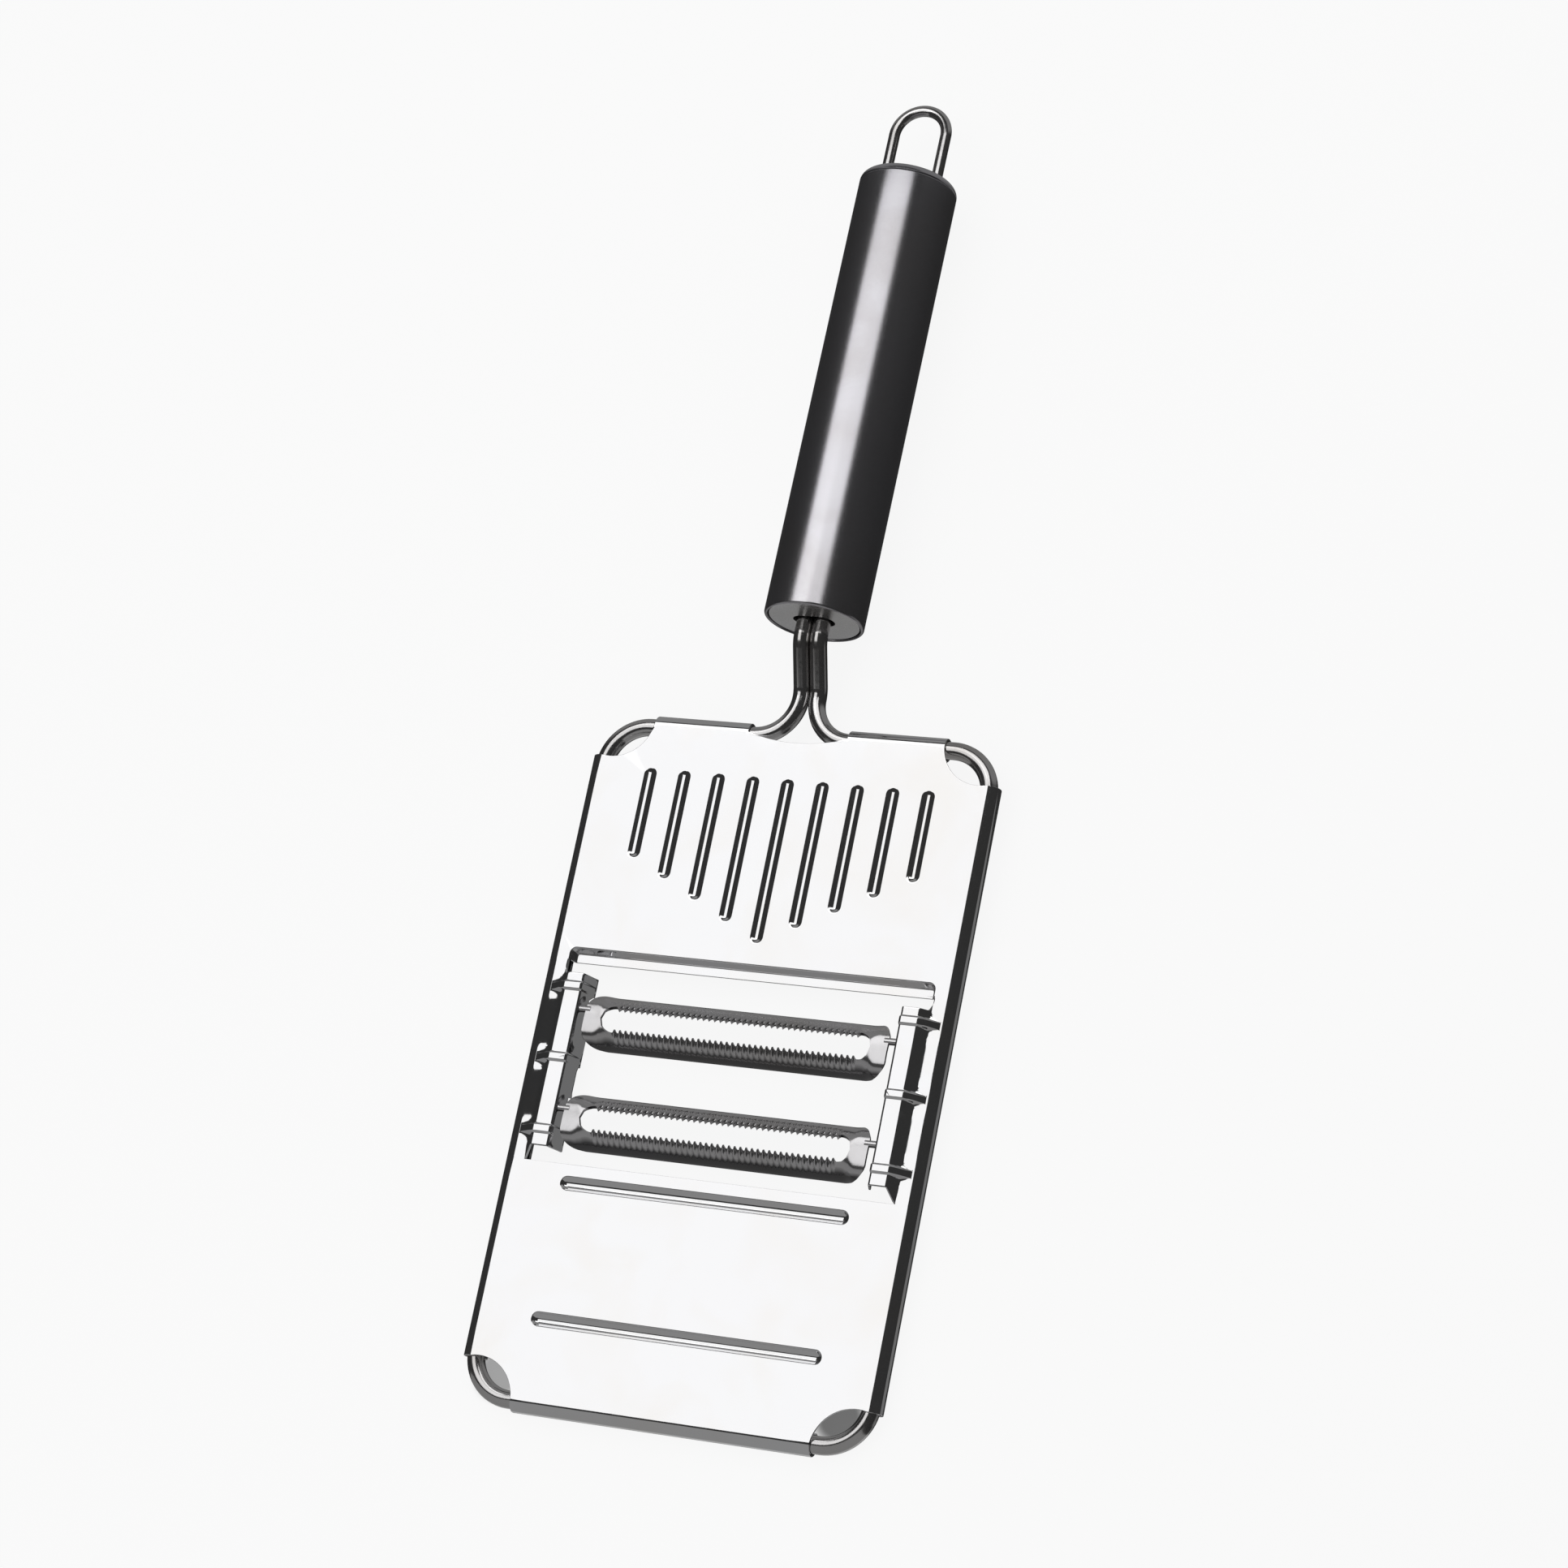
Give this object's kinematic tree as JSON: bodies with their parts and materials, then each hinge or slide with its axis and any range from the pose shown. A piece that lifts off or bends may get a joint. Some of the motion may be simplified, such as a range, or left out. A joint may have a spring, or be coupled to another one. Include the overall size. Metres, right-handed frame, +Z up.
{
  "type": "mandoline slicer",
  "caption": "Hand-held frame slicer: stamped steel plate rolled over a bent wire frame, toothed strip blades that swivel in its window, cranked neck, tube handle and hanging loop.",
  "frame": {"origin": "middle of the base of the tool's box, as it lies on a table on the handle's far rim and the plate's far edge", "axes": "+Y from the plate towards the handle and its loop, +X across the plate, +Z up from the table, out of the plate's slicing face (which leans 1.15 degrees from level)"},
  "size_m": [0.0944, 0.3018, 0.023],
  "materials": {
    "plate_steel": "mirror polished stainless sheet",
    "wire_steel": "bright polished stainless wire",
    "blade_steel": "satin ground stainless strip",
    "handle_steel": "fine satin brushed stainless tube",
    "cap_steel": "satin stainless disc"
  },
  "bodies": {
    "frame": {"wire_frame": "wire_steel", "slicer_plate": "plate_steel", "handle_tube": "handle_steel", "handle_front_cap": "cap_steel", "handle_rear_cap": "handle_steel", "hanging_loop": "wire_steel"},
    "upper_blade": {"upper_blade": "blade_steel"},
    "lower_blade": {"lower_blade": "blade_steel"}
  },
  "joints": [
    {"name": "upper_blade_swivel", "type": "hinge", "parent": "frame", "child": "upper_blade", "pos_m": [0, -0.06451, 0.00779], "axis": [1, 0, 0], "range_deg": [-25, 25]},
    {"name": "lower_blade_swivel", "type": "hinge", "parent": "frame", "child": "lower_blade", "pos_m": [0, -0.0864, 0.00735], "axis": [1, 0, 0], "range_deg": [-25, 25]}
  ]
}
